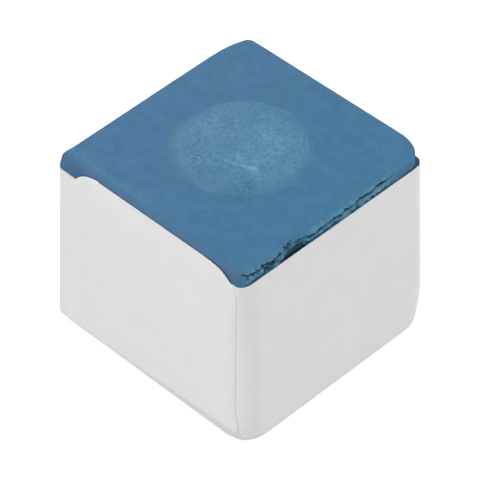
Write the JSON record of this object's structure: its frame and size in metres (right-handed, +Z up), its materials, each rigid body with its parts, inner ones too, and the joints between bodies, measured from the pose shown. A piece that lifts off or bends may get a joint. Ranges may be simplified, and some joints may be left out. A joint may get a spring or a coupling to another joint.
{
  "type": "cue chalk cube",
  "caption": "Pressed blue cue chalk block with a shallow dimple for the cue tip, in a plain folded paper label that covers its base and sides.",
  "frame": {"origin": "middle of the underside of the label, where it meets the table", "axes": "+Z up through the dimple, -Y out of the front cover flap, +X out of the right flap that tucks under it"},
  "size_m": [0.0222, 0.0224, 0.0196],
  "materials": {
    "chalk": "matte",
    "label_paper": "matte",
    "glue": "satin"
  },
  "bodies": {
    "root": {"chalk_block": "chalk", "paper_label": "label_paper", "label_glue": "glue"}
  },
  "joints": []
}
